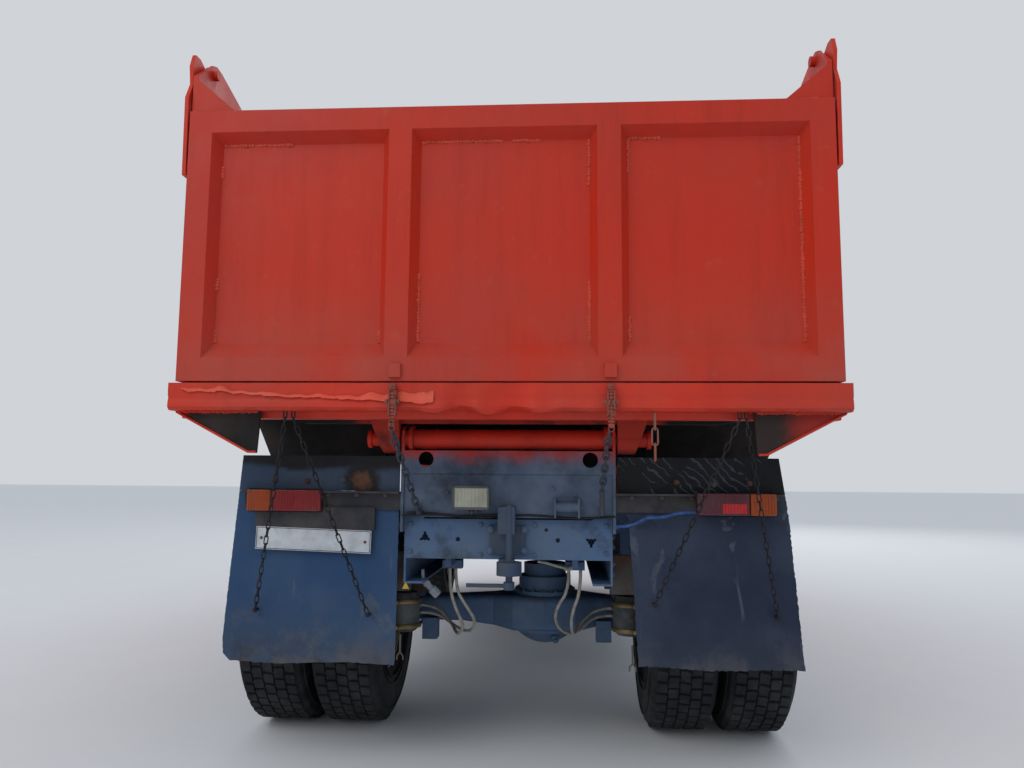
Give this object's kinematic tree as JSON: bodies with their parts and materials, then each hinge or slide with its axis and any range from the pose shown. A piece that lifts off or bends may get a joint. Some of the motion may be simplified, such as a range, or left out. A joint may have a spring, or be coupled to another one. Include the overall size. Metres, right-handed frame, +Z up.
{
  "type": "dump truck",
  "caption": "Rear-tipping dump truck with a forward cab, a steel tipping bed with a top-hung tailgate, a telescopic hoist under the bed and twin rear wheels.",
  "frame": {"origin": "on the ground, in the middle of the truck's length and width", "axes": "+Z up, +Y forward towards the cab, +X to the truck's right"},
  "size_m": [2.532, 6.25, 2.905],
  "materials": {
    "paint_orange": "satin",
    "paint_chassis": "satin",
    "paint_black": "satin",
    "steel": "satin",
    "cast_iron": "matte",
    "tyre_rubber": "matte",
    "rubber": "matte",
    "blue_hose": "satin",
    "lamp_lens": "gloss",
    "head_lens": "gloss",
    "plate_white": "satin",
    "glass": "polished",
    "seat_fabric": "matte",
    "cab_trim": "matte"
  },
  "bodies": {
    "root": {"frame_rails": "paint_chassis", "crossmembers": "paint_chassis", "tow_coupling": "steel", "subframe": "paint_orange", "hinge_frame": "paint_orange", "front_axle": "cast_iron", "leaf_springs": "steel", "rear_axle": "cast_iron", "brake_chambers": "plate_white", "engine": "cast_iron", "driveline": "cast_iron", "fuel_tank": "paint_chassis", "air_tanks": "paint_black", "battery_box": "paint_black", "exhaust": "steel", "mudflaps": "rubber", "lamp_bars": "paint_chassis", "rear_lamps": "lamp_lens", "number_plate": "plate_white", "work_lamp": "plate_white", "front_bumper": "paint_orange", "headlamps": "head_lens", "steps_and_mudguards": "paint_black", "brake_hose_left_rear": "rubber", "brake_hose_left_front": "rubber", "brake_hose_right_rear": "rubber", "brake_hose_right_front": "rubber", "lamp_conduit": "blue_hose", "flap_chains": "steel", "latch_chains": "steel"},
    "bed": {"bed_floor": "paint_orange", "bed_side_left": "paint_orange", "bed_side_right": "paint_orange", "bed_headboard": "paint_orange", "bed_sill": "paint_orange", "latches_and_chain": "paint_orange"},
    "tailgate": {"tailgate": "paint_orange"},
    "cab": {"cab_shell": "paint_orange", "cab_grille": "paint_black", "cab_glass": "glass", "cab_seats": "seat_fabric", "cab_dashboard": "cab_trim"},
    "door_left": {"door_left": "paint_orange", "door_left_glass": "glass"},
    "door_right": {"door_right": "paint_orange", "door_right_glass": "glass"},
    "knuckle_left": {"knuckle_left": "cast_iron"},
    "knuckle_right": {"knuckle_right": "cast_iron"},
    "front_wheel_left": {"front_rim_left": "plate_white", "front_tyre_left": "tyre_rubber"},
    "front_wheel_right": {"front_rim_right": "plate_white", "front_tyre_right": "tyre_rubber"},
    "rear_wheels_left": {"rear_rims_left": "plate_white", "rear_tyres_left": "tyre_rubber"},
    "rear_wheels_right": {"rear_rims_right": "plate_white", "rear_tyres_right": "tyre_rubber"},
    "hoist_barrel": {"hoist_barrel": "paint_orange"},
    "hoist_stage_1": {"hoist_stage_1": "steel"},
    "hoist_stage_2": {"hoist_stage_2": "steel"},
    "hoist_stage_3": {"hoist_stage_3": "steel"}
  },
  "joints": [
    {"name": "bed_tilt", "type": "hinge", "parent": "root", "child": "bed", "pos_m": [0, -2.7, 1.338], "axis": [1, 0, 0], "range_deg": [0, 50], "deforming": ["flap_chains", "latch_chains"]},
    {"name": "gate_swing", "type": "hinge", "parent": "bed", "child": "tailgate", "pos_m": [0, -2.945, 2.822], "axis": [-1, 0, 0], "range_deg": [0, 60]},
    {"name": "cab_tilt", "type": "hinge", "parent": "root", "child": "cab", "pos_m": [0, 3, 0.98], "axis": [-1, 0, 0], "range_deg": [0, 55]},
    {"name": "door_left_swing", "type": "hinge", "parent": "cab", "child": "door_left", "pos_m": [-1.164, 2.974, 1.59], "axis": [0, 0, -1], "range_deg": [0, 70]},
    {"name": "door_right_swing", "type": "hinge", "parent": "cab", "child": "door_right", "pos_m": [1.164, 2.974, 1.59], "axis": [0, 0, 1], "range_deg": [0, 70]},
    {"name": "steer_left", "type": "hinge", "parent": "root", "child": "knuckle_left", "pos_m": [-0.83, 1.675, 0.52], "axis": [0, 0, 1], "range_deg": [-35, 35]},
    {"name": "steer_right", "type": "hinge", "parent": "root", "child": "knuckle_right", "pos_m": [0.83, 1.675, 0.52], "axis": [0, 0, 1], "range_deg": [-35, 35]},
    {"name": "front_wheel_left_spin", "type": "hinge", "parent": "knuckle_left", "child": "front_wheel_left", "pos_m": [-0.99, 1.675, 0.52], "axis": [1, 0, 0], "continuous": true},
    {"name": "front_wheel_right_spin", "type": "hinge", "parent": "knuckle_right", "child": "front_wheel_right", "pos_m": [0.99, 1.675, 0.52], "axis": [1, 0, 0], "continuous": true},
    {"name": "rear_wheels_left_spin", "type": "hinge", "parent": "root", "child": "rear_wheels_left", "pos_m": [-0.92, -1.925, 0.52], "axis": [1, 0, 0], "continuous": true},
    {"name": "rear_wheels_right_spin", "type": "hinge", "parent": "root", "child": "rear_wheels_right", "pos_m": [0.92, -1.925, 0.52], "axis": [1, 0, 0], "continuous": true},
    {"name": "hoist_lean", "type": "hinge", "parent": "root", "child": "hoist_barrel", "pos_m": [0, -1.2, 0.82], "axis": [1, 0, 0], "range_deg": [0, 18.9]},
    {"name": "hoist_slide_1", "type": "slide", "parent": "hoist_barrel", "child": "hoist_stage_1", "axis": [0, 0, 1], "range_m": [0, 0.409]},
    {"name": "hoist_slide_2", "type": "slide", "parent": "hoist_stage_1", "child": "hoist_stage_2", "axis": [0, 0, 1], "range_m": [0, 0.409]},
    {"name": "hoist_slide_3", "type": "slide", "parent": "hoist_stage_2", "child": "hoist_stage_3", "axis": [0, 0, 1], "range_m": [0, 0.409]}
  ],
  "couplings": [
    {"joint": "steer_right", "follows": "steer_left", "ratio": 1},
    {"joint": "hoist_lean", "follows": "bed_tilt", "ratio": 0.3774},
    {"joint": "hoist_slide_1", "follows": "bed_tilt", "m_per_rad": 0.46746},
    {"joint": "hoist_slide_2", "follows": "bed_tilt", "m_per_rad": 0.46746},
    {"joint": "hoist_slide_3", "follows": "bed_tilt", "m_per_rad": 0.46746}
  ]
}
